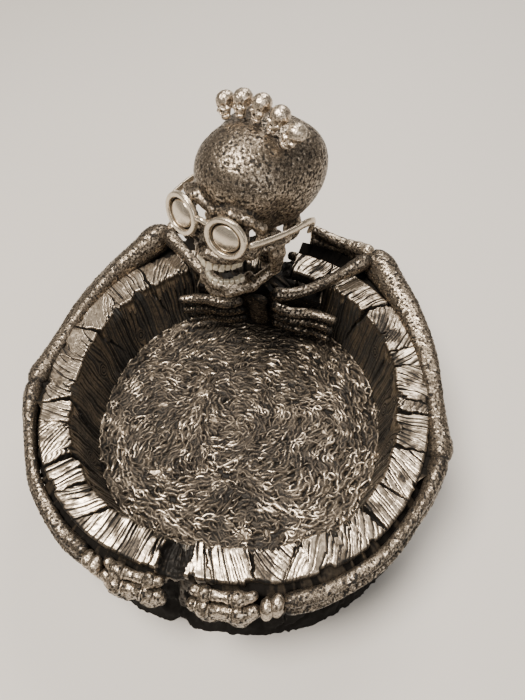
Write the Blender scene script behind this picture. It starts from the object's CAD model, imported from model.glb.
"""The looks of the skeleton ashtray: sculpted surfaces and antique silver materials.

Sculpting is done in millimetres, in the frame of the CAD model, and the meshes
are scaled to metres when they are made. The head has a frame of its own, which
faces -Y before it is turned.
"""

import bpy
import numpy as np
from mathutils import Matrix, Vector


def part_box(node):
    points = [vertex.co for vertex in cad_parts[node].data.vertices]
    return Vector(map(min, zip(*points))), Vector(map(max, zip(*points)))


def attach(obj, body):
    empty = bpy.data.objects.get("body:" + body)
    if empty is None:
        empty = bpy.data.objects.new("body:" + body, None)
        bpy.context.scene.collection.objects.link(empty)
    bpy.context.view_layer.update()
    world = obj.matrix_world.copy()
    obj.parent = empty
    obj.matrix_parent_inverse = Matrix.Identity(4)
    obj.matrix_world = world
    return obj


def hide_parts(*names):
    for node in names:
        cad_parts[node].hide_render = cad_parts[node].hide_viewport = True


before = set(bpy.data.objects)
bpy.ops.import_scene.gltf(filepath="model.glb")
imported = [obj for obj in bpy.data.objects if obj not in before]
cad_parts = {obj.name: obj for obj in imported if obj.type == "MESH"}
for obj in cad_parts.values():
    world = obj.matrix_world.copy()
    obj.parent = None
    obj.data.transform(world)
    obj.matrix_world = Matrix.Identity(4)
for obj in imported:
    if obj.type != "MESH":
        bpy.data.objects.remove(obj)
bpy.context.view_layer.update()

import openvdb
from mathutils import Matrix, Vector

MM = 0.001

# Stump, as in the CAD model
BOWL_HIGH = np.array(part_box("stump_bowl")[1]) / MM
RIM_HEIGHT = BOWL_HIGH[2]
BASE_FLARE = 1.10
OUTER_RADIUS = BOWL_HIGH[0] / BASE_FLARE
INNER_RADIUS = 52.3
FLOOR_RADIUS = 49.0
FLOOR_HEIGHT = 17.5
SQUARENESS = 2.2
FRONT_FLATTENING = 0.065
BASE_FLATTENING = 0.3
REST_ANGLE = np.radians(264)
REST_RADIUS = 4.6
REST_DEPTH = 6.5

# Head, as in the CAD model
HEAD_CENTRE = (0.0, 50.0, 91.0)
HEAD_YAW = np.radians(-27)
HEAD_TILT = np.radians(-15)
HEAD_BREADTH = 35.5
JAW_OPENING = np.radians(14)
JAW_HINGE = (0.0, -3.0, -15.5)
CREST_COUNT = 5
CREST_STEP = np.radians(16.5)

# Camera, with its place in metres
CAMERA_PLACE = (0.02716, -0.08255, 0.20710)
CAMERA_AZIMUTH = np.radians(12.0)
CAMERA_DOWN = np.radians(57.96)
CAMERA_ROLL = np.radians(-1.9)
CAMERA_LENS = 29.1


# Noise

def lattice(cell, seed):
    """A random number from -1 to 1 for each whole-number cell."""
    mixed = cell[..., 0] * 374761393 + cell[..., 1] * 668265263 + cell[..., 2] * 1274126177
    mixed = (mixed + seed * 974634777) & 0xFFFFFFFF
    mixed = ((mixed ^ (mixed >> 13)) * 1103515245) & 0xFFFFFFFF
    mixed = ((mixed ^ (mixed >> 15)) * 668265263) & 0xFFFFFFFF
    return ((mixed ^ (mixed >> 16)) & 0xFFFF) / 32767.5 - 1.0


def noise(points, scale, seed):
    """Smooth value noise from -1 to 1, with features about scale wide."""
    scaled = np.asarray(points, float) / scale
    cell = np.floor(scaled).astype(np.int64)
    part = scaled - cell
    blend = part * part * part * (part * (part * 6 - 15) + 10)
    total = 0.0
    for corner in np.ndindex(2, 2, 2):
        weight = 1.0
        for axis in range(3):
            along = blend[..., axis]
            weight = weight * (along if corner[axis] else 1 - along)
        total = total + weight * lattice(cell + np.array(corner), seed)
    return total


def layered(points, scale, seed, octaves=3):
    """Noise with finer and finer detail on it, from about -1 to 1."""
    total = 0.0
    whole = 0.0
    for octave in range(octaves):
        height = 0.5 ** octave
        total = total + height * noise(points, scale / 2 ** octave, seed + 17 * octave)
        whole += height
    return total / whole * 1.5


def ramp(value, low, high):
    """0 below low, 1 above high, and smooth between."""
    t = np.clip((value - low) / (high - low), 0, 1)
    return t * t * (3 - 2 * t)


def bell(value, width):
    """1 at zero, and falling to nothing a few widths away."""
    return np.exp(-(value / width) ** 2)


# Meshes

def full_turn(columns):
    return np.linspace(0, 2 * np.pi, columns, endpoint=False)


def polar(angle, reach, height=0.0):
    """Points at an angle, a distance from the middle axis, and a height."""
    angle, reach, height = np.broadcast_arrays(angle, reach, height)
    return np.stack([reach * np.cos(angle), reach * np.sin(angle), height], -1)


def turned(points, matrix):
    return points @ np.array(matrix.to_3x3()).T + np.array(matrix.translation)


def neighbours_mean(values, first, second, degree):
    return np.bincount(first, weights=values[second], minlength=len(values)) / degree


def convexity(points, normals, quads, rounds):
    """How far each point stands out from its smoothed surroundings."""
    sides = np.concatenate([quads[:, [i, (i + 1) % 4]] for i in range(4)])
    first = np.concatenate([sides[:, 0], sides[:, 1]])
    second = np.concatenate([sides[:, 1], sides[:, 0]])
    degree = np.maximum(np.bincount(first, minlength=len(points)), 1)
    smooth = points.copy()
    for _ in range(rounds):
        for axis in range(3):
            mean = neighbours_mean(smooth[:, axis], first, second, degree)
            smooth[:, axis] = 0.5 * smooth[:, axis] + 0.5 * mean
    return ((points - smooth) * normals).sum(1)


def vertex_normals(mesh):
    normals = np.empty(len(mesh.vertices) * 3, np.float32)
    mesh.vertex_normals.foreach_get("vector", normals)
    return normals.reshape(-1, 3)


def build_mesh(name, points, quads, caps=()):
    mesh = bpy.data.meshes.new(name)
    mesh.from_pydata((points * MM).tolist(), [], quads.tolist() + [list(cap) for cap in caps])
    mesh.update()
    mesh.shade_smooth()
    return mesh


def add_piece(name, node, look, mesh):
    """A sculpted piece that stands for a CAD node and rides on the part's one body."""
    slot_name, material = look
    piece = bpy.data.objects.new(name, mesh)
    bpy.context.scene.collection.objects.link(piece)
    mesh.materials.append(material)
    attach(piece, "root")
    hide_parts(node)


def set_wear(mesh, wear):
    attribute = mesh.attributes.new("wear", "FLOAT", "POINT")
    attribute.data.foreach_set("value", np.clip(wear, 0, 1).astype(np.float32))


def move_points(mesh, points):
    mesh.vertices.foreach_set("co", (points * MM).astype(np.float32).ravel())
    mesh.update()


# Rounds of smoothing that the fine and the broad wear are measured against
FINE_ROUNDS = 3
BROAD_ROUNDS = 8


def add_sculpt(node, look, surface, depth, gain, base, place=None):
    """Sinks a surface of (points, faces, caps) by depth along its normals, and adds it for a CAD node.

    What stands out is marked as worn bright. place is a matrix that the surface is put in place by.
    """
    points, quads, caps = surface
    mesh = build_mesh(node + "_sculpt", points, quads, caps)
    moved = points - vertex_normals(mesh) * depth[:, None]
    move_points(mesh, moved)
    normals = vertex_normals(mesh)
    fine = convexity(moved, normals, quads, FINE_ROUNDS)
    broad = convexity(moved, normals, quads, BROAD_ROUNDS)
    set_wear(mesh, base + gain * (fine + 0.5 * broad) - 0.9 * depth)
    if place:
        move_points(mesh, turned(moved, place))
    add_piece(node + "_sculpt", node, look, mesh)


def loop_quads(rows, columns, close_rows=False):
    """Faces of a grid of points that closes on itself along each row."""
    last = rows if close_rows else rows - 1
    low = np.arange(last)[:, None] * columns
    high = (np.arange(1, last + 1) % rows)[:, None] * columns
    here = np.arange(columns)[None, :]
    after = (here + 1) % columns
    return np.stack([low + here, low + after, high + after, high + here], -1).reshape(-1, 4)


def tube_faces(rows, columns):
    """The side of a closed tube, and a cap for each of its ends."""
    first = np.arange(columns)[::-1]
    last = (rows - 1) * columns + np.arange(columns)
    return loop_quads(rows, columns), [first, last]


def flipped_tube_faces(rows, columns):
    """The same, for points that run round the other way."""
    quads, caps = tube_faces(rows, columns)
    return quads[:, ::-1], [cap[::-1] for cap in caps]


# Signed distance fields

def field_grid(low, high, voxel):
    axes = [np.arange(a, b + voxel, voxel, dtype=np.float32) for a, b in zip(low, high)]
    return np.stack(np.meshgrid(*axes, indexing="ij"), -1)


def field_mesh(field, low, voxel):
    """The surface where the field is zero, as points in mm and faces."""
    grid = openvdb.FloatGrid(3.0)
    grid.copyFromArray(np.ascontiguousarray(field, np.float32))
    points, _, quads = grid.convertToPolygons(isovalue=0.0, adaptivity=0.0)
    points = points.astype(float) * voxel + np.array(low)
    return points, quads.astype(np.int64)


def egg(grid, centre, half):
    """Distance to an ellipsoid, near enough for blending."""
    half = np.array(half, np.float32)
    away = (grid - np.array(centre, np.float32)) / half
    near = np.sqrt((away ** 2).sum(-1)) + 1e-6
    slope = np.sqrt(((away / half) ** 2).sum(-1)) + 1e-6
    return near * (near - 1) / slope


def rod(grid, start, end, start_radius, end_radius):
    """Distance to a straight rod with round ends."""
    start = np.array(start, np.float32)
    along = np.array(end, np.float32) - start
    away = grid - start
    t = np.clip((away @ along) / (along @ along), 0, 1)
    gap = np.sqrt(((away - t[..., None] * along) ** 2).sum(-1))
    return gap - (start_radius + (end_radius - start_radius) * t)


def join(first, second, blend):
    """Two shapes in one, with a fillet about blend wide."""
    h = np.clip(0.5 + 0.5 * (second - first) / blend, 0, 1)
    return second + (first - second) * h - blend * h * (1 - h)


def cut(first, second, blend):
    """The first shape without the second."""
    return -join(-first, second, blend)


def paired_egg(grid, centre, half):
    """An ellipsoid and its mirror image."""
    x, y, z = centre
    return np.minimum(egg(grid, centre, half), egg(grid, (-x, y, z), half))


def worked(grid, field, steps):
    """Joins on or cuts away mirrored ellipsoids: rows of (join or cut, centre, half sizes, blend)."""
    for work, centre, half, blend in steps:
        field = work(field, paired_egg(grid, centre, half), blend)
    return field


def chain(grid, controls, blend=0.8):
    """Rods through control points of (x, y, z, radius), blended together."""
    field = None
    for start, end in zip(controls, controls[1:]):
        piece = rod(grid, start[:3], end[:3], start[3], end[3])
        field = piece if field is None else join(field, piece, blend)
    return field


def paired_chain(grid, controls):
    return np.minimum(chain(grid, controls), chain(grid, mirrored(controls, -1)))


# Materials

def link(tree, source, target):
    tree.links.new(source, target)


def new_node(tree, kind, **settings):
    node = tree.nodes.new(kind)
    for key, value in settings.items():
        setattr(node, key, value)
    return node


def noise_node(tree, coordinates, scale, detail):
    node = new_node(tree, "ShaderNodeTexNoise")
    node.inputs["Scale"].default_value = scale
    node.inputs["Detail"].default_value = detail
    link(tree, coordinates, node.inputs["Vector"])
    return node.outputs["Fac"]


def math_node(tree, operation, first, second):
    node = new_node(tree, "ShaderNodeMath", operation=operation)
    for socket, value in zip(node.inputs, (first, second)):
        if isinstance(value, (int, float)):
            socket.default_value = value
        else:
            link(tree, value, socket)
    return node.outputs["Value"]


def ramp_node(tree, factor, stops):
    """A colour ramp through stops of (place, colour)."""
    node = new_node(tree, "ShaderNodeValToRGB")
    elements = node.color_ramp.elements
    while len(elements) < len(stops):
        elements.new(0.5)
    for element, (place, colour) in zip(elements, stops):
        element.position = place
        element.color = (*colour, 1.0)
    link(tree, factor, node.inputs["Fac"])
    return node.outputs["Color"]


BLACK = (0.010, 0.009, 0.008)
BRONZE = (0.080, 0.065, 0.049)
SHADE = (0.078, 0.076, 0.071)
PEWTER = (0.34, 0.285, 0.222)
SILVER = (0.78, 0.67, 0.54)
TOOTH_COLOURS = (BLACK, (0.22, 0.18, 0.12), (0.62, 0.54, 0.40), (0.86, 0.79, 0.64))
SATIN_COLOURS = (BLACK, BRONZE, (0.48, 0.41, 0.32), (0.84, 0.74, 0.60))

BUMP_HEIGHT = 0.12 * MM

# Wear and the value there, for metal and for roughness
METAL = ((0.30, 0.2), (0.60, 0.9))
ROUGH = ((0.30, 0.62), (0.75, 0.28))
BARK_METAL = ((0.55, 0.0), (0.85, 0.9))
BARK_ROUGH = ((0.50, 0.85), (0.90, 0.35))
TOOTH_METAL = ((0.3, 0.1), (0.6, 0.35))
TOOTH_ROUGH = ((0.3, 0.6), (0.7, 0.3))
SATIN_ROUGH = ((0.3, 0.55), (0.7, 0.27))


def greys(stops):
    return [(place, (value, value, value)) for place, value in stops]


def antique(name, stops, breakup, bump, scale, metal=METAL, roughness=ROUGH, shine=0.25):
    """Silver rubbed over black: colour, metal and roughness follow how worn a spot is."""
    made = bpy.data.materials.new(name)
    made.use_nodes = True
    tree = made.node_tree
    shader = tree.nodes["Principled BSDF"]
    coordinates = new_node(tree, "ShaderNodeTexCoord").outputs["Object"]
    coarse = noise_node(tree, coordinates, scale * 0.3, 4.0)
    fine = noise_node(tree, coordinates, scale, 3.0)
    coarse_share = math_node(tree, "MULTIPLY", coarse, 0.7)
    both = math_node(tree, "ADD", coarse_share, math_node(tree, "MULTIPLY", fine, 1.3))
    spread = math_node(tree, "MULTIPLY", math_node(tree, "SUBTRACT", both, 1.0), breakup)
    wear = new_node(tree, "ShaderNodeAttribute", attribute_name="wear").outputs["Fac"]
    worn = math_node(tree, "ADD", spread, wear)
    link(tree, ramp_node(tree, worn, stops), shader.inputs["Base Color"])
    link(tree, ramp_node(tree, worn, greys(metal)), shader.inputs["Metallic"])
    link(tree, ramp_node(tree, worn, greys(roughness)), shader.inputs["Roughness"])
    shader.inputs["Specular IOR Level"].default_value = shine
    bumps = new_node(tree, "ShaderNodeBump")
    bumps.inputs["Strength"].default_value = bump
    bumps.inputs["Distance"].default_value = BUMP_HEIGHT
    link(tree, fine, bumps.inputs["Height"])
    link(tree, bumps.outputs["Normal"], shader.inputs["Normal"])
    return made


def patina(*places, colours=(BLACK, BRONZE, PEWTER, SILVER)):
    """Stops for a colour ramp, at these amounts of wear."""
    return list(zip(places, colours))


def make_looks():
    """The slot's name and the material of each kind of surface."""
    shaded = (BLACK, SHADE, PEWTER, SILVER)
    teeth = patina(0.20, 0.42, 0.62, 0.88, colours=TOOTH_COLOURS)
    satin = patina(0.22, 0.42, 0.60, 0.86, colours=SATIN_COLOURS)
    bone = antique("antique_bone", patina(0.30, 0.52, 0.76, 1.0), 0.84, 0.6, 3300.0)
    dark = antique("dark_bone", patina(0.40, 0.62, 0.84, 1.0), 0.52, 0.5, 1600.0)
    rim = antique("rim_silver", patina(0.25, 0.48, 0.72, 1.0), 0.34, 0.3, 1200.0)
    wall = antique("wall_patina", patina(0.26, 0.52, 0.86, 1.0, colours=shaded), 0.34, 0.3, 1100.0)
    floor = antique("floor_patina", patina(0.18, 0.42, 0.66, 0.92), 0.30, 0.35, 1300.0)
    bark = antique("bark_patina", patina(0.58, 0.84, 0.97, 1.0), 0.30, 0.4, 1000.0,
                   BARK_METAL, BARK_ROUGH, 0.06)
    tooth = antique("tooth", teeth, 0.16, 0.15, 1500.0, TOOTH_METAL, TOOTH_ROUGH)
    polished = antique("satin_silver", satin, 0.18, 0.15, 1400.0, METAL, SATIN_ROUGH)
    return {
        "bone": ("silver_bone", bone), "top_rib": ("dark_bone", bone), "dark": ("dark_bone", dark),
        "rim": ("stump", rim), "wall": ("stump", wall), "floor": ("stump", floor), "bark": ("stump", bark),
        "tooth": ("tooth", tooth), "satin": ("satin_silver", polished),
    }


# Stump

RIM_BREADTH = OUTER_RADIUS - INNER_RADIUS
WALL_DEPTH = RIM_HEIGHT - FLOOR_HEIGHT

# Radii in mm at which the patterns on the rim, the wall, the bark and the foot are laid out
GRAIN_RADIUS = 57.0
WALL_RADIUS = 50.0
BARK_RADIUS = 62.0
FOOT_RADIUS = 66.0

# Angle at the inner edge, angle at the outer edge, width, depth, drift down the wall, in degrees and mm
CRACKS = (
    (2, 2, 1.5, 3.0, -3.0), (8, 5, 1.0, 1.8, 1.0), (20, 18, 0.7, 1.6, -7.0),
    (26, 26, 0.9, 2.2, 2.0), (45, 43, 1.4, 3.0, 7.0), (66, 66, 0.8, 1.8, 2.0),
    (98, 97, 0.9, 2.0, -2.0), (120, 122, 0.6, 1.2, -1.0), (137, 136, 1.2, 2.8, -7.0),
    (151, 150, 0.5, 1.2, -1.0), (164, 166, 1.3, 3.0, -9.0), (178, 177, 0.5, 1.0, 1.0),
    (193, 194, 1.3, 3.0, 6.0), (202, 200, 0.5, 1.1, 1.0), (214, 214, 1.7, 3.0, 2.0),
    (225, 223, 1.3, 2.4, -2.0), (237, 233, 1.2, 2.2, 2.0), (257, 258, 0.8, 1.6, 0.0),
    (272, 276, 0.6, 1.4, 0.0), (287, 287, 1.3, 3.0, 1.0), (302, 294, 0.8, 1.7, -1.0),
    (325, 325, 1.7, 3.0, -3.0), (335, 335, 1.0, 2.4, 1.0), (349, 350, 1.3, 2.2, 3.0),
)

# Angle in degrees, height and size in mm
KNOTS = ((-8, 33.0, 2.6), (12, 27.0, 1.9), (-28, 26.5, 1.6), (33, 35.0, 1.5), (172, 31.0, 2.0),
         (208, 27.0, 2.3), (148, 25.0, 1.5), (292, 32.0, 1.9), (240, 34.0, 1.4))


def plan(angle, radius, rise=1.0):
    """The stump's plan: a rounded square, flattened at the front, and more so at the rim than the base."""
    power = np.abs(np.cos(angle)) ** SQUARENESS + np.abs(np.sin(angle)) ** SQUARENESS
    flattening = FRONT_FLATTENING * (BASE_FLATTENING + (1 - BASE_FLATTENING) * rise)
    towards_front = np.maximum(0.0, -np.sin(angle))
    return radius * power ** (-1 / SQUARENESS) * (1 - flattening * towards_front ** 2)


def wall_reach(angle, height):
    """The outside of the stump at a height."""
    rise = np.clip(height / RIM_HEIGHT, 0, 1)
    return plan(angle, OUTER_RADIUS, rise) * (1 + (BASE_FLARE - 1) * (1 - rise) ** 1.3)


def turn_gap(angle, centre):
    """The signed angle from centre, between -pi and pi."""
    return (angle - centre + np.pi) % (2 * np.pi) - np.pi


def grooves(across, seed, spacing, whole, width):
    """Irregular parallel lines that close after a whole turn.

    Each place gets a depth from 0 to 1 and the number of its line.
    """
    rng = np.random.default_rng(seed)
    gaps = rng.uniform(0.55, 1.6, int(whole / spacing) + 2) * spacing
    lines = np.cumsum(gaps)
    lines = np.concatenate([[0.0], lines * (whole / lines[-1])])
    across = across % whole
    after = np.clip(np.searchsorted(lines, across), 1, len(lines) - 1)
    nearer = np.where(across - lines[after - 1] < lines[after] - across, after - 1, after)
    strength = rng.uniform(0.25, 1.0, len(lines)) ** 1.3
    strength[-1] = strength[0]
    breadth = width * (0.75 + 0.7 * strength[nearer])
    return strength[nearer] * bell(across - lines[nearer], breadth), nearer


def crack_depth(angle, inward, down):
    """Depth of the cracks at an angle, a share of the way in across the rim, and a depth down the wall."""
    depth = np.zeros(np.shape(angle))
    along = polar(angle, 60.0, inward * 9.5 + down)
    wobble = 0.45 * noise(along, 2.2, 5) + 0.15 * noise(along, 0.8, 6)
    for inner, outer, width, deep, drift in CRACKS:
        middle = outer + (inner - outer) * inward
        shift = drift * (down / WALL_DEPTH) ** 1.1
        away = np.abs(turn_gap(angle, np.radians(middle)) * GRAIN_RADIUS - shift + wobble)
        taper = np.clip(0.40 + 0.60 * inward, 0.3, 1) * np.clip(1.0 - down / 26.0, 0.12, 1)
        profile = np.clip(1 - away / (width * 0.62 * taper), 0, 1) ** 0.55
        depth = np.maximum(depth, profile * deep * taper)
    return depth


def block_lean(angle, inward):
    """The lean of the grain, and the step in height, which change from block to block between cracks."""
    rng = np.random.default_rng(8)
    turn = np.degrees(angle) % 360
    passed = np.zeros(np.shape(angle), int)
    for inner, outer, *_ in CRACKS:
        passed += turn > outer + (inner - outer) * inward
    leans = rng.uniform(-0.65, 0.65, len(CRACKS))
    steps = rng.uniform(-0.35, 0.15, len(CRACKS))
    return leans[passed % len(CRACKS)], steps[passed % len(CRACKS)]


# More than the number of lines round the rim, for the random ends of each
LINES = 4000


def rim_grain(angle, inward):
    """Depths from 0 to 1 of the bold, the light and the hair-fine lines on the rim."""
    here = polar(angle, plan(angle, OUTER_RADIUS - RIM_BREADTH * inward))
    lean, _ = block_lean(angle, inward)
    fan = layered(here, 22.0, 61, 2) * 2.6 + layered(here, 4.0, 62, 2) * 0.10
    across = angle * GRAIN_RADIUS + 1.5 * lean * (inward - 0.5) * RIM_BREADTH + fan
    whole = 2 * np.pi * GRAIN_RADIUS
    bold, number = grooves(across, 63, 1.8, whole, 0.13 * (0.75 + 1.3 * inward ** 4))
    rng = np.random.default_rng(64)
    start = rng.uniform(-0.5, 0.6, LINES)[number]
    stop = rng.uniform(0.7, 1.8, LINES)[number]
    bold = bold * ramp(inward, start - 0.10, start + 0.25) * ramp(-inward, -stop - 0.08, -stop + 0.08)
    light, number = grooves(across + 0.25 * layered(here, 5.0, 65, 2), 60, 1.9, whole, 0.11)
    end = rng.uniform(0.1, 1.2, LINES)[number]
    light = light * ramp(-inward, -end - 0.1, -end + 0.1)
    fine, _ = grooves(across * 1.05, 66, 0.62, whole * 1.05, 0.12)
    backness = 0.5 + 0.5 * np.sin(angle)
    return bold, light * (0.7 + 0.8 * backness), fine * (0.6 + 1.4 * backness)


def inner_edge(angle):
    """The ragged inner edge of the rim, notched where the bold lines run out over it."""
    points = polar(angle, 55.0)
    ragged = 0.35 * layered(points, 3.0, 31) + 0.5 * layered(points, 11.0, 32, 2)
    chips = ramp(layered(points, 4.2, 33, 2), 0.42, 0.75) * 1.4
    bold, _, _ = rim_grain(angle, 1)
    return plan(angle, INNER_RADIUS) + ragged + chips + 0.45 * crack_depth(angle, 1, 0) + 1.3 * bold


def outer_edge(angle):
    """The outer edge of the rim, with chips out of it."""
    points = polar(angle, BARK_RADIUS)
    chips = ramp(layered(points, 3.6, 41, 2), 0.5, 0.8) * 0.9
    return plan(angle, OUTER_RADIUS) + 0.25 - 0.3 * np.abs(layered(points, 3.0, 42)) - chips


def rest_drop(angle, reach):
    """How far the cigarette rest drops the rim."""
    across = np.sin(turn_gap(angle, REST_ANGLE)) * reach
    ragged = 0.85 * layered(polar(angle, reach), 2.6, 51)
    across = np.abs(across) + ragged
    inside = np.clip(1 - (across / REST_RADIUS) ** 2, 0, 1)
    bowl = REST_DEPTH - REST_RADIUS + REST_RADIUS * np.sqrt(inside)
    return np.where(across < REST_RADIUS, bowl, 0) * ramp(REST_RADIUS + 0.6 - across, 0, 0.6)


def rim_surface(angle, inward):
    """Reach, height and wear of the rim's top at an angle and a share of the way in."""
    outer = outer_edge(angle)
    reach = outer + (inner_edge(angle) - outer) * inward
    _, step = block_lean(angle, inward)
    here = polar(angle, reach)
    bold, light, fine = rim_grain(angle, inward)
    crack = crack_depth(angle, inward, 0)
    rounding = 0.5 * np.clip(1 - inward / 0.07, 0, 1) ** 2
    rounding += 0.40 * np.clip((inward - 0.94) / 0.06, 0, 1) ** 2
    uneven = 0.34 * layered(here, 9.0, 67, 2) + 0.05 * layered(here, 1.3, 68)
    rest = rest_drop(angle, reach)
    torn = ramp(rest, 0.1, 1.5) * (0.55 * layered(here, 1.7, 52) - 0.30)
    height = RIM_HEIGHT - 0.45 + step + uneven + torn - 0.65 * bold - 0.35 * light - 0.06 * fine
    height = np.minimum(height - crack - rounding - rest, RIM_HEIGHT + 0.2)
    wear = 0.88 - 1.40 * bold - 0.85 * light - 0.20 * fine - 0.60 * crack
    wear -= 0.60 * ramp(rest, 0.1, 1.8) + 0.42 * ramp(layered(here, 5.0, 69), 0.05, 0.9)
    wear -= 0.35 * ramp(-inward, -0.10, 0.0) + 0.12 * ramp(inward, 0.9, 1.0)
    return reach, height, wear


def lathe(angle, rows):
    """Points and wear of rows of (reach, height, wear) round the stump."""
    points = np.concatenate([polar(angle, reach, height) for reach, height, _ in rows])
    return points, np.concatenate([wear + 0 * angle for _, _, wear in rows])


def add_stump_piece(name, mesh, wear, look):
    set_wear(mesh, wear)
    add_piece(name, "stump_bowl", look, mesh)


def make_rim(looks):
    columns = 2200
    rows_across = 34
    angle = full_turn(columns)
    outer, outer_top, _ = rim_surface(angle, 0)
    inner, inner_top, _ = rim_surface(angle, 1)
    rows = [(outer + 0.12, outer_top - down, 0.35) for down in (9.0, 3.0, 1.2, 0.45)]
    rows += [rim_surface(angle, inward) for inward in np.linspace(0, 1, rows_across)]
    rows += [(inner - 0.05, inner_top - down, 0.45) for down in (0.5, 1.3, 3.0, 9.0)]
    points, wear = lathe(angle, rows)
    quads = loop_quads(len(rows), columns, close_rows=True)
    mesh = build_mesh("stump_rim", points, quads)
    wear += 0.7 * convexity(points, vertex_normals(mesh), quads, 4)
    add_stump_piece("stump_rim", mesh, wear, looks["rim"])


def knot_flow(along, height):
    """The grain's coordinate down the wall, parted by the knots, and how deep in a knot each point is."""
    flow = along.copy()
    inside = np.zeros_like(along)
    rings = np.zeros_like(along)
    for degrees, level, size in KNOTS:
        across = turn_gap(along / WALL_RADIUS, np.radians(degrees)) * WALL_RADIUS
        drop = (height - level) / 1.7
        away = np.sqrt(across ** 2 + drop ** 2) + 1e-6
        fade = np.exp(-np.maximum(away - size, 0) / (3 * size))
        flow -= across * np.where(away > size, size ** 2 / away ** 2, 1.0) * fade * 0.9
        core = ramp(size * 1.25 - away, 0, size * 0.3)
        rings = np.where(core > 0, away, rings)
        inside = np.maximum(inside, core)
    return flow, inside, rings


WALL_FOOT = FLOOR_HEIGHT - 0.8


def wall_grain(angle, level):
    """Depths of the lines and the fine lines down the wall, and how deep in a knot each point is."""
    here = polar(angle, WALL_RADIUS, level * 0.4)
    warp = 1.3 * layered(here, 9.0, 71, 2) + 0.25 * layered(here, 2.5, 72, 2)
    whole = 2 * np.pi * WALL_RADIUS
    flow, inside, rings = knot_flow(angle * WALL_RADIUS, level)
    line, _ = grooves(flow + warp, 73, 1.15, whole, 0.19)
    fine, _ = grooves(flow * 1.01 + warp, 74, 0.62, whole * 1.01, 0.16)
    ring_line = 0.5 + 0.5 * np.cos(rings * 2 * np.pi / 0.85)
    return line * (1 - inside) + ring_line ** 2 * inside, fine, inside


def wall_row(angle, edge, top, share):
    """Reach, height and wear of the wall, a share of the way down from the rim."""
    level = top - 0.25 + (WALL_FOOT - top + 0.25) * share
    rise = np.clip((level - WALL_FOOT) / (RIM_HEIGHT - WALL_FOOT), 0, 1)
    reach = plan(angle, FLOOR_RADIUS + 0.2 + (INNER_RADIUS - FLOOR_RADIUS) * rise ** 0.7)
    reach += (edge - plan(angle, INNER_RADIUS)) * ramp(rise, 0.80, 1.0)
    reach -= 0.5 * np.clip(1 - (level - WALL_FOOT) / 2.0, 0, 1) ** 2
    line, fine, inside = wall_grain(angle, level)
    crack = crack_depth(angle, 1, np.maximum(top - level, 0))
    waves = 0.45 * layered(polar(angle, WALL_RADIUS, level * 0.25), 7.0, 75, 2)
    waves = waves * np.clip(1 - share, 0.15, 1) * ramp(share, 0, 0.1)
    wear = 0.78 - 0.85 * line - 0.25 * fine * (1 - inside) - 0.5 * crack - 0.10 * share
    wear -= 0.5 * ramp(WALL_FOOT - level, -3.0, -1.0)
    wear += 0.16 * layered(polar(angle, WALL_RADIUS, level * 0.4), 4.0, 76)
    return reach + 0.42 * line + 0.10 * fine + 0.8 * crack + waves, level, wear


def make_wall(looks):
    columns = 1080
    rows_down = 82
    angle = full_turn(columns)
    _, top, _ = rim_surface(angle, 1)
    edge = inner_edge(angle)
    rows = [wall_row(angle, edge, top, share) for share in np.linspace(0, 1, rows_down)]
    back = plan(angle, INNER_RADIUS + 3.5)
    rows += [(back, WALL_FOOT, 0.2), (back, top - 3.0, 0.2)]
    points, wear = lathe(angle, rows)
    mesh = build_mesh("stump_wall", points, loop_quads(len(rows), columns, close_rows=True))
    add_stump_piece("stump_wall", mesh, wear, looks["wall"])


def strands(size):
    """Short curved strands that swirl round the bowl: where they run, and their tops, widths and tilts."""
    rng = np.random.default_rng(12)
    count = 6500
    reach = size * np.sqrt(rng.uniform(0, 1, count))
    place = rng.uniform(0, 2 * np.pi, count)
    centre = polar(place, plan(place, reach))
    eddy = layered(centre, 14.0, 86, 2)
    heading = place + np.pi / 2 + 2.6 * eddy * (1.05 - reach / size) + rng.normal(0, 0.30, count)
    length = rng.uniform(2.2, 5.6, count)
    bend = rng.normal(0, 0.22, count)
    level = rng.uniform(0.0, 0.8, count)
    half_width = rng.uniform(0.40, 0.78, count)
    tilt = rng.uniform(0.15, 0.45, count) * rng.choice((-1, 1), count)
    t = np.linspace(-0.5, 0.5, 36)[None, :]
    run = t * length[:, None]
    way = heading[:, None] + bend[:, None] * run
    ends = np.clip(1 - (2 * np.abs(t)) ** 2.4, 0, 1)
    x = centre[:, :1] + run * np.cos(way)
    y = centre[:, 1:2] + run * np.sin(way)
    top = level[:, None] + 0.2 * ends
    wide = half_width[:, None] * (0.3 + 0.7 * ends)
    lift_x = -tilt[:, None] * np.sin(way)
    lift_y = tilt[:, None] * np.cos(way)
    return [values.ravel() for values in (x, y, top, wide, lift_x, lift_y)]


def fibre_map(size, pixel):
    """A height map of the strands, each with a tilted top and steep sides."""
    x, y, top, wide, lift_x, lift_y = strands(size)
    cells = int(2 * size / pixel) + 40
    height_map = np.full((cells, cells), -0.45)
    column = x / pixel + cells / 2
    row = y / pixel + cells / 2
    spread = int(0.80 / pixel) + 1
    for i, j in np.ndindex(2 * spread + 1, 2 * spread + 1):
        a = np.clip(np.round(column).astype(int) + i - spread, 0, cells - 1)
        b = np.clip(np.round(row).astype(int) + j - spread, 0, cells - 1)
        across = (a - column) * pixel / wide
        up = (b - row) * pixel / wide
        away = np.hypot(across, up)
        value = top + lift_x * across + lift_y * up - 0.60 * np.clip(away, 0, 1) ** 3.5
        keep = away < 1
        np.maximum.at(height_map, (b[keep], a[keep]), value[keep])
    return height_map


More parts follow.
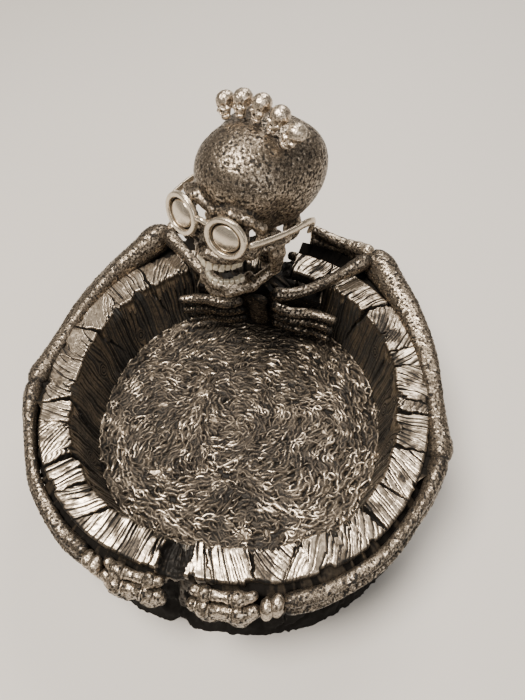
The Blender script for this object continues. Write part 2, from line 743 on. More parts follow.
def read_map(height_map, pixel, x, y):
    """The height map's values at places in mm, blended between its cells."""
    cells = len(height_map)
    column = np.clip(x / pixel + cells / 2, 0, cells - 2)
    row = np.clip(y / pixel + cells / 2, 0, cells - 2)
    a = column.astype(int)
    b = row.astype(int)
    s = column - a
    t = row - b
    low = height_map[b, a] * (1 - s) + height_map[b, a + 1] * s
    high = height_map[b + 1, a] * (1 - s) + height_map[b + 1, a + 1] * s
    return low * (1 - t) + high * t


def square_to_disc(side):
    """Evenly spaced polar places from a square grid."""
    line = np.linspace(-1, 1, side)
    a, b = np.meshgrid(line, line, indexing="ij")
    wider = np.abs(a) > np.abs(b)
    with np.errstate(divide="ignore", invalid="ignore"):
        reach = np.where(wider, a, b)
        turn = np.where(wider, np.pi / 4 * (b / a), np.pi / 2 - np.pi / 4 * (a / b))
    return reach, np.nan_to_num(turn)


# The breadth in mm of one cell of the floor's height map
FLOOR_PIXEL = 0.11


def floor_relief(x, y, share):
    """Height and wear of the floor, and how its crests shine: share is how far out a place is."""
    relief = read_map(fibre_map(FLOOR_RADIUS + 1.0, FLOOR_PIXEL), FLOOR_PIXEL, x, y)
    here = np.stack([x, y, 0 * x], -1)
    patches = ramp(layered(here, 3.4, 82, 3), 0.90, 0.96)
    relief = relief * (1 - patches) + (0.25 + 0.05 * layered(here, 1.0, 83)) * patches
    height = FLOOR_HEIGHT - 0.3 + 1.15 * relief + 0.25 * layered(here, 13.0, 81, 2)
    height += 1.3 * ramp(share, 0.90, 1.0)
    flecks = ramp(layered(here, 3.4, 84, 3), 0.05, 0.75)
    crests = np.clip(relief, 0, 1) ** 3
    wear = 0.26 + 0.10 * crests + 0.36 * flecks * crests + 0.40 * patches + 0.10 * layered(here, 9.0, 85)
    return height, wear - 0.20 * ramp(-relief, -0.35, 0.1), 1.2 + 2.1 * flecks


def make_floor(looks):
    side = 312
    reach, turn = square_to_disc(side)
    angle = np.where(reach < 0, turn + np.pi, turn)
    distance = np.abs(reach) * plan(angle, FLOOR_RADIUS + 1.0)
    x, y, _ = np.moveaxis(polar(angle, distance), -1, 0)
    height, wear, shine = floor_relief(x, y, np.abs(reach))
    points = np.stack([x, y, height], -1).reshape(-1, 3)
    index = np.arange(side * side).reshape(side, side)
    grid = np.stack([index[:-1, :-1], index[1:, :-1], index[1:, 1:], index[:-1, 1:]], -1)
    border = np.concatenate([index[0, :-1], index[:-1, -1], index[-1, :0:-1], index[:0:-1, 0]])
    lower = len(points) + np.arange(len(border))
    skirt = np.stack([border, np.roll(border, -1), np.roll(lower, -1), lower], -1)
    points = np.concatenate([points, points[border] - (0, 0, 4.0)])
    quads = np.concatenate([grid.reshape(-1, 4), skirt])
    mesh = build_mesh("stump_floor", points, quads, [lower])
    shine = np.concatenate([shine.ravel(), np.ones(len(border))])
    wear = np.concatenate([wear.ravel(), np.full(len(border), 0.2)])
    wear += shine * convexity(points, vertex_normals(mesh), quads, 3)
    add_stump_piece("stump_floor", mesh, wear, looks["floor"])


def arm_shelf(angle, level):
    """How far the bark swells out to carry the arms."""
    swing = np.degrees(np.abs(turn_gap(angle, np.radians(HUG_ANGLE + 2.0))))
    rows = np.array(ARMS["humerus"])[::-1]
    upper = np.interp(swing, rows[:, 0], rows[:, 2] - 0.3) * ramp(swing, 72, 79) * ramp(-swing, -156, -148)
    upper = upper * ramp(level, 20, 40) * ramp(-level, -45.8, -44.4)
    ledge = 6.5 * ramp(swing, 142, 149) * ramp(level, 39, 43) * ramp(-level, -46.4, -44.4)
    lower = 3.0 * ramp(-swing, -92, -86) * ramp(swing, 4, 10)
    lower = lower * ramp(level, 16, 30) * ramp(-level, -43.6, -39.0)
    return np.maximum(np.maximum(upper, lower), ledge)


def bark_depth(angle, level, share, ragged):
    """How far the furrows and plates sink at a height: share is the way down from the rim."""
    here = polar(angle, BARK_RADIUS, level * 0.22)
    warp = here + 2.4 * np.stack([layered(here, 9.0, seed, 2) for seed in (93, 94, 95)], -1)
    fissure = 1 - np.abs(layered(warp, 3.6, 96, 2))
    plates = np.abs(layered(polar(angle, BARK_RADIUS, level * 0.7), 5.0, 97, 2))
    sunk = 1.5 * ramp(fissure, 0.55, 1.0) + 0.5 * plates + 0.25 * np.abs(layered(here, 1.2, 98))
    sunk = sunk * ramp(share, 0.0, 0.05) * (1 - 0.85 * ramp(share, 0.70, 1.0))
    gap = 3.0 * bell(turn_gap(angle, REST_ANGLE) * FOOT_RADIUS, 2.4)
    return sunk + (ragged + gap * share) * ramp(share, 0.78, 1.0)


def bark_row(angle, edge, top, share):
    """Reach, height and wear of the bark, a share of the way down from the rim."""
    foot = polar(angle, FOOT_RADIUS)
    ragged = 0.6 * np.abs(layered(foot, 2.4, 91, 2)) + 0.5 * np.abs(layered(foot, 12.0, 92, 2))
    level = (top - 0.3) * (1 - share)
    sunk = bark_depth(angle, level, share, ragged)
    blend = ramp(share, 0.0, 0.10)
    reach = edge * (1 - blend) + wall_reach(angle, level) * blend - sunk + arm_shelf(angle, level)
    wear = 0.78 - 0.38 * sunk - 0.12 * share - 0.25 * ramp(share, 0.5, 0.9)
    sheltered = ramp(arm_shelf(angle, 43.0), 0.6, 2.6) * ramp(level, 36, 42)
    return reach, level, wear - 0.40 * sheltered


def make_bark(looks):
    columns = 900
    rows_down = 104
    angle = full_turn(columns)
    _, top, _ = rim_surface(angle, 0)
    edge = outer_edge(angle)
    rows = [bark_row(angle, edge, top, share) for share in np.linspace(0, 1, rows_down) ** 1.25]
    reach, level, _ = rows[-1]
    rows = [(reach * 0.99, level, 0.3)] + rows[::-1]
    inner = plan(angle, INNER_RADIUS + 5.0)
    rows += [(inner, top - 3.5, 0.2), (inner, FLOOR_HEIGHT - 6.0, 0.2)]
    points, wear = lathe(angle, rows)
    quads, caps = tube_faces(len(rows), columns)
    mesh = build_mesh("stump_bark", points, quads, caps)
    wear += 0.5 * np.clip(convexity(points, vertex_normals(mesh), quads, 4), -0.6, 0.3)
    add_stump_piece("stump_bark", mesh, wear, looks["bark"])


# Bones made by sweeping a section along a path

SPAN_POINTS = 12


def smooth_path(controls):
    """A curve through the control points, with the radius carried along as a fourth value."""
    controls = [np.array(control, float) for control in controls]
    last = len(controls) - 1
    points = []
    for i in range(last):
        p0 = controls[max(i - 1, 0)]
        p1 = controls[i]
        p2 = controls[i + 1]
        p3 = controls[min(i + 2, last)]
        for t in np.linspace(0, 1, SPAN_POINTS, endpoint=False):
            slope = (p2 - p0) * t
            bend = (2 * p0 - 5 * p1 + 4 * p2 - p3) * t ** 2
            twist = (3 * p1 - p0 - 3 * p2 + p3) * t ** 3
            points.append((2 * p1 + slope + bend + twist) / 2)
    points.append(controls[-1])
    return np.array(points)


def run_lengths(points):
    """The distance walked along a path at each of its points."""
    return np.concatenate([[0], np.cumsum(np.linalg.norm(np.diff(points, axis=0), axis=1))])


def resample(path, step):
    """Evenly spaced points on a path, and the distance along it at each."""
    lengths = run_lengths(path[:, :3])
    places = np.linspace(0, lengths[-1], max(8, int(lengths[-1] / step)))
    columns = [np.interp(places, lengths, path[:, k]) for k in range(path.shape[1])]
    return np.stack(columns, -1), places


def path_frames(points):
    """Directions across a path that turn with it and don't twist."""
    ahead = np.gradient(points, axis=0)
    ahead /= np.linalg.norm(ahead, axis=1)[:, None]
    upright = abs(ahead[0, 2]) > 0.9
    current = np.array([1.0, 0.0, 0.0] if upright else [0.0, 0.0, 1.0])
    up = np.empty_like(ahead)
    for i, forward in enumerate(ahead):
        current = current - (current @ forward) * forward
        current /= np.linalg.norm(current)
        up[i] = current
    return up, np.cross(ahead, up)


def sweep(controls, step=0.26, tall=1.0, wide=1.0, shape=None):
    """A closed tube with round ends. shape(share, turn) scales its radius."""
    path, places = resample(smooth_path(controls), step)
    centre = path[:, :3]
    radius = path[:, 3].copy()
    whole = places[-1]
    for end, cap in ((places, radius[0]), (whole - places, radius[-1])):
        inside = np.clip(end / cap, 0.003, 1)
        radius *= np.sqrt(1 - (1 - inside) ** 2)
    up, side = path_frames(centre)
    columns = max(16, int(2 * np.pi * path[:, 3].mean() / step))
    turn = full_turn(columns)[None, :]
    reach = radius[:, None] * (shape((places / whole)[:, None], turn) if shape else 1.0)
    points = centre[:, None, :] + (reach * np.cos(turn) * tall)[..., None] * up[:, None, :]
    points = points + (reach * np.sin(turn) * wide)[..., None] * side[:, None, :]
    return points.reshape(-1, 3), *flipped_tube_faces(len(path), columns)


def pits(points, seed, depth):
    """Hammered pits with finer ones among them."""
    large = ramp(layered(points, 1.7, seed, 2), 0.25, 0.9)
    small = ramp(noise(points, 0.75, seed + 3), 0.10, 0.8)
    return depth * (0.8 * large + 1.0 * small) + 0.04 * layered(points, 0.5, seed + 5, 1)


def add_bone(node, look, controls, seed, depth, base=0.65, **settings):
    surface = sweep(controls, **settings)
    add_sculpt(node, look, surface, pits(surface[0], seed, depth), 2.8, base)


def knobbed(lobes, ridge):
    """A long bone's shape: two lobes at each end and a low ridge between them."""
    def shape(share, turn):
        near_end = bell(share, 0.09) + bell(1 - share, 0.09)
        waist = np.sin(np.pi * share)
        two = np.cos(2 * turn + 0.6)
        return 1 + lobes * near_end * two + ridge * waist * np.cos(turn * 3 + 4 * share)
    return shape


def mirrored(controls, side):
    return [(side * x, y, z, radius) for x, y, z, radius in controls]


HUG_ANGLE = 266.5
HUG_TURN = 3.5
HUG_SPAN = 150.0

# Rows of swing from the front in degrees, height, distance off the stump and radius, the rest in mm
ARMS = {
    "humerus": ((149.0, 48.2, 6.6, 3.6), (144.0, 47.5, 7.5, 5.5), (138.0, 46.5, 5.7, 4.9),
                (127.5, 45.3, 3.7, 4.0), (113.0, 44.2, 2.2, 3.2), (98.0, 43.4, 2.0, 2.7),
                (89.5, 42.8, 3.1, 3.2), (85.0, 42.2, 4.0, 4.0), (80.6, 41.6, 4.0, 3.6)),
    "ulna": ((82.8, 43.0, 4.0, 2.8), (78.5, 43.0, 4.2, 3.1), (69.5, 42.4, 3.7, 2.0),
             (53.0, 41.2, 3.7, 1.8), (38.0, 40.4, 3.7, 2.0), (29.5, 40.0, 3.6, 2.4),
             (26.2, 39.8, 3.5, 1.8)),
    "radius": ((82.4, 38.6, 4.0, 2.6), (78.0, 38.2, 4.4, 2.8), (69.5, 38.5, 4.1, 2.1),
               (53.0, 37.5, 4.3, 2.0), (38.0, 36.5, 4.2, 2.1), (29.5, 35.8, 4.0, 2.5),
               (26.2, 35.5, 3.8, 1.9)),
}
FINGER_SWINGS = (20.6, 18.2, 15.4, 12.8, 9.8, 7.6)

# Height at the wrist, the knuckle and the tip, swing of the tip, distance off the stump, thickness
DIGITS = {
    "thumb": (43.0, 43.6, 42.9, 3.4, 2.6, 2.0),
    "index_finger": (39.4, 39.3, 38.8, 2.8, 4.9, 2.5),
    "middle_finger": (36.0, 34.8, 34.6, 3.0, 4.2, 2.4),
    "ring_finger": (32.8, 30.4, 30.6, 3.6, 3.5, 2.2),
    "little_finger": (29.6, 26.3, 26.9, 5.4, 2.8, 1.95),
}

# Rows of x, y, z and radius, for the left side
CLAVICLE = [
    (38.2, 57.2, 50.8, 2.4), (35.2, 55.3, 50.8, 2.9), (28.6, 50.1, 49.6, 2.1), (20.0, 43.2, 48.6, 1.9),
    (12.0, 39.2, 48.2, 2.1), (7.2, 38.3, 48.2, 2.6), (5.0, 38.3, 48.2, 2.0),
]
FRONT_RIBS = (
    [(5.2, 38.4, 41.6, 1.5), (12.0, 37.4, 40.0, 1.9), (20.5, 38.6, 39.2, 1.8), (29.6, 36.8, 39.0, 1.4)],
    [(5.0, 39.8, 34.8, 1.4), (12.0, 38.8, 33.2, 1.8), (20.5, 39.4, 32.4, 1.7), (29.0, 36.8, 32.4, 1.3)],
    [(4.8, 41.2, 28.0, 1.4), (12.0, 40.2, 26.4, 1.7), (20.0, 40.4, 25.6, 1.6), (28.2, 37.2, 25.6, 1.2)],
)


def outside(angle, height, offset):
    """A point that stands off the outside of the stump."""
    return polar(angle, wall_reach(angle, height) + offset, height)


def hug_point(swing, height, offset, side):
    """A place on an arm: swing is its angle round the stump from where the hands meet."""
    return outside(np.radians(HUG_ANGLE + HUG_TURN * swing / HUG_SPAN + side * swing), height, offset)


def digit_controls(wrist_height, knuckle_height, tip_height, tip_swing, offset, thickness, side):
    """A finger's path from the wrist over the knuckles to the tip."""
    swings = (*FINGER_SWINGS, (FINGER_SWINGS[-1] + tip_swing) / 2, tip_swing)
    bends = (-0.5, 0.4, 0.8, 0.5, 0.3, 0.2, -0.2, -0.5)
    swell = (0.74, 0.78, 1.24, 0.76, 0.80, 1.20, 0.80, 0.78)
    controls = []
    for i, (swing, bend, factor) in enumerate(zip(swings, bends, swell)):
        along = min(i / 2, 1.0)
        height = wrist_height + (knuckle_height - wrist_height) * along
        height += (tip_height - knuckle_height) * i / (len(swings) - 1)
        controls.append((*hug_point(swing, height, offset + bend, side), thickness * factor))
    return controls


def knuckled(share, turn):
    """A finger's shape: a crease at each joint, and a flat pad between."""
    crease = sum(bell(share - joint, 0.012) for joint in (0.38, 0.68, 0.86))
    return 1 - 0.26 * crease + 0.05 * np.cos(2 * turn)


def make_arms(looks, side, word):
    seed = 200 + side * 40
    for number, (bone, rows) in enumerate(ARMS.items()):
        controls = [(*hug_point(*row[:3], side), row[3]) for row in rows]
        add_bone(bone + "_" + word, looks["bone"], controls, seed + number, 0.15,
                 shape=knobbed(0.14, 0.10))
    add_bone("clavicle_" + word, looks["bone"], mirrored(CLAVICLE, side), seed + 6, 0.12,
             shape=knobbed(0.10, 0.08))


def make_hand(looks, side, word):
    seed = 300 + side * 40
    for number, (name, sizes) in enumerate(DIGITS.items()):
        add_bone(name + "_" + word, looks["bone"], digit_controls(*sizes, side), seed + number, 0.20,
                 step=0.20, base=0.80, shape=knuckled)
    make_carpus(looks, side, word)


def box_grid(node, margin, voxel):
    """A grid round a CAD node's box, with its low corner and the middle of the box."""
    low, high = (np.array(corner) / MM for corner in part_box(node))
    return field_grid(low - margin, high + margin, voxel), low - margin, (low + high) / 2


def make_carpus(looks, side, word):
    """Eight small wrist bones in two rows."""
    node = "carpus_" + word
    voxel = 0.22
    grid, low, middle = box_grid(node, 0.8, voxel)
    field = None
    for row in range(4):
        for column in (-1, 1):
            lean = column * 1.6
            centre = middle + (lean * 0.86, side * lean * 0.4, (row - 1.5) * 3.1 + 0.5 * column)
            stone = egg(grid, centre, (1.9, 2.6, 1.75))
            field = stone if field is None else join(field, stone, 0.35)
    add_field_piece(node, looks["bone"], field, low, voxel, 350 + side, 0.12)


def add_field_piece(node, look, field, low, voxel, seed, depth,
                    place=None, gain=2.2, base=0.72, extra=None):
    """A piece whose surface is a field's zero level, pitted. base may depend on the points."""
    points, quads = field_mesh(field, low, voxel)
    sunk = pits(points, seed, depth)
    if extra:
        sunk = sunk + extra(points)
    base = base(points) if callable(base) else base
    add_sculpt(node, look, (points, quads, ()), sunk, gain, base, place)


def make_front_ribs(looks, side, word):
    for number, controls in enumerate(FRONT_RIBS, 1):
        look = looks["top_rib" if number == 1 else "dark"]
        add_bone("front_rib_%d_%s" % (number, word), look, mirrored(controls, side),
                 400 + number + 10 * side, 0.20, base=0.70, shape=knobbed(0.1, 0.05))


def make_back_ribs(looks, side, word):
    for number, height in enumerate((40.0, 31.0, 22.0), 1):
        controls = []
        for i in range(6):
            run = i * 6.2
            drop = 0.12 * run + 0.004 * run ** 2
            place = outside(np.radians(90 - side * (6.4 + run)), height - drop, 2.2)
            controls.append((*place, 1.7 - 0.08 * i))
        add_bone("back_rib_%d_%s" % (number, word), looks["bone"], controls,
                 450 + number + 10 * side, 0.14, shape=knobbed(0.1, 0.05))


# Rows of half width, y and z
STERNUM = ((3.0, 42.6, 23.5), (3.4, 41.8, 27.0), (3.4, 40.6, 33.0), (3.2, 39.0, 40.0), (3.9, 38.2, 44.0),
           (2.6, 37.8, 46.6))


def make_sternum(looks):
    controls = [(0.0, y, z, half_width) for half_width, y, z in STERNUM]
    points, quads, caps = sweep(controls, 0.3)
    middle = np.interp(points[:, 2], [row[2] for row in STERNUM], [row[1] for row in STERNUM])
    points[:, 1] = middle + (points[:, 1] - middle) * 0.38
    add_sculpt("sternum", looks["dark"], (points, quads, caps), pits(points, 500, 0.16), 2.2, 0.60)


# Rows of height, front, half width and the radius of the back
CHEST_CORE = ((18.0, 44.6, 14.0, 46.6), (24.0, 44.7, 20.0, 49.1), (36.0, 43.6, 23.0, 50.4),
              (43.5, 42.8, 23.0, 51.1))


def make_chest_core(looks):
    """Rough dark matter behind the front ribs."""
    table = np.array(CHEST_CORE)
    across = np.linspace(-1, 1, 150)
    rows = []
    for level in np.linspace(table[0, 0], table[-1, 0], 90):
        front, half_width, back = (np.interp(level, table[:, 0], table[:, k]) for k in (1, 2, 3))
        x = half_width * across
        rear = np.stack([x, np.sqrt(back ** 2 - x ** 2), 0 * x + level], -1)
        face = np.stack([x, front - 2.2 * across ** 2, 0 * x + level], -1)[::-1]
        rows.append(np.concatenate([rear, face]))
    points = np.concatenate(rows)
    surface = (points, *flipped_tube_faces(len(rows), len(rows[0])))
    rough = 0.55 * np.abs(layered(points, 2.6, 510, 3)) + 0.3 * np.abs(layered(points, 1.0, 511, 2))
    add_sculpt("chest_core", looks["dark"], surface, rough, 0.6, 0.60)


def make_spine(looks):
    """Vertebrae down the back of the stump, as swellings with side processes."""
    knobs = 6
    controls = []
    for i in range(2 * knobs + 1):
        controls.append((*outside(np.radians(90), 45.0 - i * 3.3, 3.8), 3.3 if i % 2 else 2.2))

    def shape(share, turn):
        swell = 0.5 - 0.5 * np.cos(2 * np.pi * share * knobs)
        wings = np.abs(np.sin(turn)) ** 6
        return 0.92 + 0.10 * swell * wings - 0.10 * (1 - swell) * (1 - wings)

    add_bone("spine", looks["bone"], controls, 520, 0.16, shape=shape)


def scapula_point(u, v, side):
    """A point of the shoulder blade: u runs out to the shoulder, v down to the tip."""
    outer_swing = 29.5 - 12.0 * v
    inner_swing = 13.0 + 1.5 * v
    swing = inner_swing + (outer_swing - inner_swing) * u
    height = 50.2 - 29.0 * v - 2.0 * np.sin(np.pi * u) * (1 - v)
    offset = 5.6 + 4.0 * (1 - v) ** 1.5
    place = outside(np.radians(90 - side * swing), min(height, 44.0), offset)
    place[2] = height
    return place


def scapula_bar(grid, start, end, radii, side):
    """A rounded border or ridge between two places on the shoulder blade."""
    controls = []
    for t in np.linspace(0, 1, 7):
        u, v, radius = (a + (b - a) * t for a, b in zip((*start, radii[0]), (*end, radii[1])))
        controls.append((*scapula_point(u, v, side), radius))
    return chain(grid, controls)


# Start, end and radii of each border and of the raised spine: the upper border first
SCAPULA_BARS = (
    ((0.0, 0.02), (1.10, 0.06), (1.5, 2.7)), ((0.0, 0.03), (0.1, 1.0), (1.4, 1.2)),
    ((0.96, 0.05), (0.9, 1.0), (1.8, 1.4)), ((0.0, 0.24), (0.92, 0.09), (1.3, 2.1)),
)


def make_scapula(looks, side, word):
    """A thin blade with thick borders and a raised spine across its back."""
    node = "scapula_" + word
    voxel = 0.34
    grid, low, _ = box_grid(node, 4.0, voxel)
    field = scapula_bar(grid, *SCAPULA_BARS[0], side)
    for bar in SCAPULA_BARS[1:]:
        field = join(field, scapula_bar(grid, *bar, side), 0.5)
    for v in np.linspace(0.10, 0.97, 17):
        field = join(field, scapula_bar(grid, (0.0, v), (1.0, v), (0.6, 0.6), side), 0.9)
    add_field_piece(node, looks["bone"], field, low, voxel, 530 + side, 0.16,
                    base=lambda points: 0.72 - 0.34 * ramp(-points[:, 2], -46.5, -43.5))


def make_neck(looks):
    """Neck vertebrae with a waist, side processes and a spine at the back."""
    voxel = 0.24
    for number in range(1, 5):
        node = "neck_vertebra_%d" % number
        grid, low, middle = box_grid(node, 1.5, voxel)
        body = egg(grid, middle, (3.9, 3.9, 3.3))
        body = join(body, egg(grid, middle + (0, -0.2, 2.2), (3.7, 3.7, 1.2)), 0.8)
        body = join(body, egg(grid, middle - (0, 0.2, 2.2), (3.8, 3.8, 1.2)), 0.8)
        wings = [rod(grid, middle, middle + (reach, 1.2, -0.4), 1.3, 0.9) for reach in (4.3, -4.3)]
        back = rod(grid, middle + (0, 2.0, 0), middle + (0, 5.0, -1.8), 1.2, 0.8)
        body = join(join(body, np.minimum(*wings), 0.9), back, 0.9)
        add_field_piece(node, looks["dark"], body, low, voxel, 540 + number, 0.16, base=0.70)


# Head

def head_frame():
    """Where the head's own frame stands in the part's."""
    turn = Matrix.Rotation(HEAD_YAW, 4, "Z") @ Matrix.Rotation(HEAD_TILT, 4, "X")
    return Matrix.Translation(HEAD_CENTRE) @ turn


def jaw_frame():
    """The head's frame, opened about the jaw's hinge."""
    hinge = Matrix.Translation(JAW_HINGE)
    return head_frame() @ hinge @ Matrix.Rotation(JAW_OPENING, 4, "X") @ hinge.inverted()


def arch_controls(half_width, front, back, level, radius):
    """Control points round the front of a dental arch."""
    controls = []
    for angle in np.linspace(np.pi, 2 * np.pi, 13):
        controls.append((half_width * np.cos(angle), back + (back - front) * np.sin(angle), level, radius))
    return controls


# Joined or cut, centre, half sizes and blend of each mirrored pair of eggs
BRAINCASE = (
    (join, (0, -8.6, 2.6), (14.6, 13.6, 13.2), 4.0),
    (join, (8.0, 5.6, 4.4), (8.6, 11.0, 10.8), 4.0),
    (join, (0, 14.4, -4.4), (9.2, 7.6, 7.4), 3.5),
    (cut, (18.4, -13.4, -4.6), (4.6, 7.6, 8.4), 3.0),
    (cut, (0, -5.0, -24.5), (13.0, 12.0, 8.0), 2.5),
)
BROW = ((2.2, -21.4, -3.4, 1.4), (6.5, -21.6, -2.0, 1.6), (11.0, -19.4, -2.6, 1.5),
        (13.6, -16.0, -5.2, 1.3))
CHEEK = ((13.6, -16.0, -5.2, 1.3), (13.4, -16.2, -10.0, 1.5), (11.8, -17.0, -13.6, 2.5),
         (7.6, -19.2, -15.4, 2.2))
CHEEK_ARCH = ((12.6, -16.0, -13.4, 1.7), (15.6, -11.6, -12.9, 1.15), (16.7, -6.0, -12.4, 1.0),
              (15.2, 0.4, -11.6, 1.4))


def skull_openings(grid, skull):
    """Cuts the eye sockets and the pear-shaped nose opening, with its septum."""
    orbits = np.minimum(paired_egg(grid, (7.9, -21.5, -8.0), (4.7, 5.6, 4.2)),
                        paired_egg(grid, (7.0, -15.0, -8.0), (3.4, 7.5, 3.2)))
    skull = cut(skull, orbits, 0.9)
    pear = join(egg(grid, (0, -22.0, -10.9), (1.3, 5.0, 2.2)),
                paired_egg(grid, (1.35, -21.5, -14.0), (1.6, 5.0, 2.1)), 0.5)
    skull = cut(skull, pear, 0.5)
    return join(skull, rod(grid, (0, -19.4, -10.5), (0, -19.6, -15.6), 0.32, 0.32), 0.3)


def skull_field(grid):
    skull = worked(grid, egg(grid, (0, 1.6, 0.4), (17.2, 20.6, 16.8)), BRAINCASE)
    skull = join(skull, paired_chain(grid, BROW), 1.6)
    skull = join(skull, paired_chain(grid, CHEEK), 1.4)
    maxilla = join(egg(grid, (0, -14.6, -15.6), (8.0, 7.2, 6.4)),
                   chain(grid, arch_controls(7.2, -21.7, -13.0, -19.0, 1.9)), 1.6)
    skull = join(skull, maxilla, 1.8)
    skull = join(skull, rod(grid, (0, -21.4, -4.4), (0, -23.6, -9.2), 1.35, 1.05), 1.3)
    skull = join(skull, paired_chain(grid, CHEEK_ARCH), 1.0)
    skull = join(skull, paired_egg(grid, (11.8, 5.0, -15.2), (2.7, 3.3, 5.0)), 1.6)
    skull = skull_openings(grid, skull)
    x, y, z = np.moveaxis(grid, -1, 0)
    roots = 0.16 * np.cos(np.arctan2(x, -(y + 12.0)) * 17.0)
    near_roots = ramp(z, -21.6, -19.6) * ramp(-z, 14.5, 16.5)
    return skull - roots * near_roots * (y < -12.0)


def skull_lines(points):
    """The seams between the plates of the braincase."""
    x, y, z = points.T
    none = 9.0
    wiggle = 0.55 * np.sin(3.1 * x + 2 * np.sin(1.3 * z)) + 0.4 * layered(points, 1.6, 611, 2)
    crown = np.where(z > -3, np.abs(y + 4.5 + 0.10 * np.abs(x) + wiggle), none)
    wiggle = 0.5 * np.sin(3.3 * y) + 0.4 * layered(points, 1.6, 612, 2)
    middle = np.where((z > 0) & (y > -4.5), np.abs(x + wiggle), none)
    side_seam = np.hypot((y - 1.0) / 1.25, z + 5.5) - 8.0 + 0.5 * layered(points, 2.0, 613, 2)
    side_seam = np.where((np.abs(x) > 10) & (z > -9), np.abs(side_seam), none)
    return 0.16 * bell(np.minimum(np.minimum(crown, middle), side_seam), 0.20)


def make_skull(looks):
    low = (-19.0, -27.0, -23.0)
    voxel = 0.32
    grid = field_grid(low, (19.0, 25.5, 19.5), voxel)
    add_field_piece("skull", looks["bone"], skull_field(grid), low, voxel, 600, 0.17,
                    head_frame(), extra=skull_lines, base=0.60)


JAW_HALF = [(12.8, -3.0, -15.5, 1.5), (13.1, -3.4, -21.0, 1.7), (12.3, -5.0, -27.4, 1.9),
            (9.4, -13.6, -30.0, 2.0), (4.6, -19.4, -30.9, 2.2)]
JAW_BLADE = ((12.9, -4.6, -24.5, 1.6), (12.9, -7.0, -19.0, 1.1), (12.7, -8.2, -15.4, 0.7))
JAW_CHIN = (
    (join, (0, -21.2, -32.2), (3.6, 1.8, 1.9), 1.2),
    (cut, (3.2, -22.8, -30.0), (2.0, 0.9, 1.1), 0.8),
)


def make_jaw(looks):
    low = (-16.5, -24.5, -35.5)
    voxel = 0.26
    grid = field_grid(low, (16.5, 1.5, -12.5), voxel)
    jaw = chain(grid, JAW_HALF + [(0.0, -20.4, -31.2, 2.4)] + mirrored(JAW_HALF[::-1], -1), 1.2)
    jaw = join(jaw, paired_chain(grid, JAW_BLADE), 1.6)
    jaw = join(jaw, paired_egg(grid, (12.8, -5.8, -22.6), (1.1, 2.4, 4.4)), 1.2)
    jaw = join(jaw, chain(grid, arch_controls(6.9, -21.2, -11.5, -28.9, 1.35)), 1.0)
    jaw = worked(grid, jaw, JAW_CHIN)
    add_field_piece("jaw", looks["bone"], jaw, low, voxel, 620, 0.15, jaw_frame(), base=0.70)


# From the middle outwards, in mm
TOOTH_WIDTHS = (2.15, 1.65, 1.9, 1.75, 1.7, 2.3)

# Each tooth's share of the row's length, and the radius of its edges in mm
TOOTH_REACHES = (1.0, 0.9, 1.02, 0.85, 0.8, 0.72)
TOOTH_ROUNDING = 0.35


def arch_walk(half_width, front, back):
    """Places along a dental arch by their distance from its middle."""
    angle = np.linspace(-np.pi / 2, 0, 200)
    points = np.stack([half_width * np.cos(angle), back + (back - front) * np.sin(angle)], -1)
    return points[:, 0], points[:, 1], run_lengths(points)


def tooth_field(along, through, down, width, reach, depth):
    """Distance to a rounded crown that narrows to its root."""
    share = np.clip(down / reach, 0, 1)
    half = width * 0.5 * (0.80 + 0.16 * share)
    box = np.stack([np.abs(along) - half, np.abs(through) - depth + 0.30 * share,
                    np.abs(down - reach / 2) - reach / 2 - 0.25], -1) + TOOTH_ROUNDING
    return np.linalg.norm(np.maximum(box, 0), axis=-1) + np.minimum(box.max(-1), 0) - TOOTH_ROUNDING


def make_teeth(looks, node, arch, top, length, up, place, scale, seed):
    """A row of separate teeth on an arch of (half width, front, back)."""
    x, y, lengths = arch_walk(*arch)
    half_width, front, back = arch
    low = np.array([-half_width - 2.0, front - 2.0, min(top, top + up * length) - 1.2])
    high = np.array([half_width + 2.0, back + 1.5, max(top, top + up * length) + 1.2])
    voxel = 0.15
    grid = field_grid(low, high, voxel)
    field = np.full(grid.shape[:3], 5.0, np.float32)
    walked = 0.0
    for number, width in enumerate(np.array(TOOTH_WIDTHS) * scale):
        centre = walked + width / 2
        walked += width
        (cx, ahead_x), (cy, ahead_y) = (np.interp((centre, centre + 0.1), lengths, axis) for axis in (x, y))
        heading = np.arctan2(ahead_y - cy, ahead_x - cx)
        depth = 1.30 if number > 3 else 0.95
        for side in (1, -1):
            ax = grid[..., 0] * side - cx
            ay = grid[..., 1] - cy
            along = ax * np.cos(heading) + ay * np.sin(heading)
            through = ay * np.cos(heading) - ax * np.sin(heading)
            down = (grid[..., 2] - top) * up
            tooth = tooth_field(along, through, down, width, length * TOOTH_REACHES[number], depth)
            field = np.minimum(field, tooth)
    add_field_piece(node, looks["tooth"], field, low, voxel, seed, 0.03, place, gain=3.0, base=0.78)


CREST_LOW = (-3.6, -4.2, -4.8)
CREST_SKULL = (
    (join, (0, -1.3, -1.5), (1.75, 1.7, 2.2), 0.9),
    (join, (1.7, -1.5, -1.1), (0.75, 0.9, 0.6), 0.4),
    (join, (0, -1.5, -3.1), (1.45, 1.35, 0.9), 0.4),
    (cut, (1.05, -3.0, -0.25), (0.80, 1.15, 0.78), 0.25),
    (cut, (0.2, -3.1, -1.45), (0.28, 0.9, 0.50), 0.15),
    (cut, (2.5, -1.2, -0.1), (0.6, 1.1, 1.0), 0.5),
)


